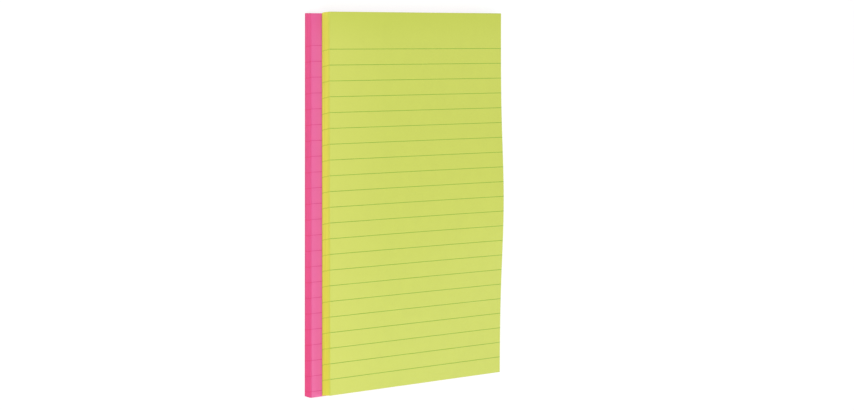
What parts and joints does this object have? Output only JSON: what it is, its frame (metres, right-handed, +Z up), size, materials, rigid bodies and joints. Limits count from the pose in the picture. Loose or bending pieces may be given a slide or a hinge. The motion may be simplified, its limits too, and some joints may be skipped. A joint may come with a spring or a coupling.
{
  "type": "lined sticky note pad",
  "caption": "Pad of ruled sticky note sheets: a lime block stuck on a pink block, staggered sideways, its loose right edge sprung up in a long low wave.",
  "frame": {"origin": "middle of the rear block's back, which is the flat face the pad lies on", "axes": "+X to the right across a sheet as its lines are read, +Y along a sheet towards the glued end, +Z up, out of the ruled faces"},
  "size_m": [0.1359, 0.204, 0.0137],
  "materials": {
    "lime_paper": "matte uncoated coloured paper, ruled",
    "pink_paper": "matte uncoated coloured paper, ruled"
  },
  "bodies": {
    "root": {"front_sheet_block": "lime_paper", "rear_sheet_block": "pink_paper"}
  },
  "joints": []
}
